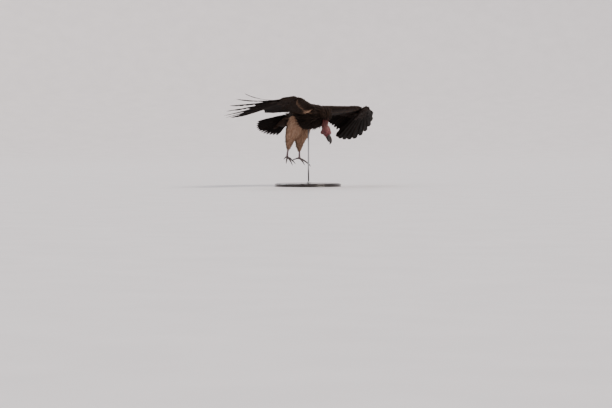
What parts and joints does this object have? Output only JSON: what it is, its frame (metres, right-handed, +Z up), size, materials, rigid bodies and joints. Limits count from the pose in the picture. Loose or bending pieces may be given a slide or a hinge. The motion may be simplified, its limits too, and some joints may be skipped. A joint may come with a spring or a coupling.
{
  "type": "vulture",
  "caption": "Life-size lappet-faced vulture coming in to land, wings spread, legs and bare head hanging, held over a round display base by one rod.",
  "frame": {"origin": "centre of the display base's underside", "axes": "+X the way the bird faces, +Y to its left, +Z up"},
  "size_m": [0.8685, 2.3777, 0.8479],
  "materials": {
    "base_lacquer": "satin black lacquer over board",
    "rod_steel": "brushed",
    "body_plumage": "matt dark brown feathers",
    "flight_feathers": "matt near-black feathers",
    "trouser_down": "soft buff down",
    "face_skin": "bare folded skin",
    "leg_skin": "scaly skin",
    "bill_horn": "smooth horn",
    "claw_horn": "smooth horn",
    "eyes": "wet gloss"
  },
  "bodies": {
    "root": {"stand_base": "base_lacquer", "stand_rod": "rod_steel", "trunk": "body_plumage", "neck_ruff": "body_plumage", "neck": "face_skin", "head": "face_skin", "bill_upper": "bill_horn", "bill_lower": "bill_horn", "tail": "flight_feathers", "undertail": "body_plumage", "eye_right": "eyes", "shank_right": "trouser_down", "tarsus_right": "leg_skin", "foot_right": "leg_skin", "upper_arm_right": "body_plumage", "forearm_right": "body_plumage", "hand_right": "body_plumage", "alula_right": "flight_feathers", "tertials_right": "flight_feathers", "secondaries_right": "flight_feathers", "primaries_right": "flight_feathers", "claw_middle_right": "claw_horn", "claw_inner_right": "claw_horn", "claw_outer_right": "claw_horn", "claw_hind_right": "claw_horn", "eye_left": "eyes", "shank_left": "trouser_down", "tarsus_left": "leg_skin", "foot_left": "leg_skin", "upper_arm_left": "body_plumage", "forearm_left": "body_plumage", "hand_left": "body_plumage", "alula_left": "flight_feathers", "tertials_left": "flight_feathers", "secondaries_left": "flight_feathers", "primaries_left": "flight_feathers", "claw_middle_left": "claw_horn", "claw_inner_left": "claw_horn", "claw_outer_left": "claw_horn", "claw_hind_left": "claw_horn"}
  },
  "joints": []
}
